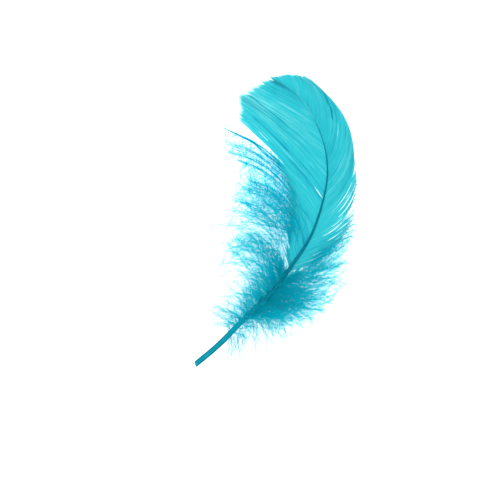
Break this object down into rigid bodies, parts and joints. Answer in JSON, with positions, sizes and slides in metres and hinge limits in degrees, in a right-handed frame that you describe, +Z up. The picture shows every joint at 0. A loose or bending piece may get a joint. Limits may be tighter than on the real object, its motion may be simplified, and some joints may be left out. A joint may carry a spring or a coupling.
{
  "type": "goose feather",
  "caption": "Curved goose body feather dyed turquoise, with a hollow cut quill, two vanes and a downy base, lying convex side up.",
  "frame": {"origin": "middle of the footprint, on the surface that the feather lies on", "axes": "+Y from the cut quill end towards the tip, +Z up from the surface, +X to the right as the camera looks down"},
  "size_m": [0.0546, 0.0997, 0.0086],
  "materials": {
    "vane": "soft satin, dyed keratin barbs",
    "shaft": "smooth satin, dyed translucent keratin",
    "down": "matte, fluffy dyed down"
  },
  "bodies": {
    "root": {"feather": "vane"}
  },
  "joints": []
}
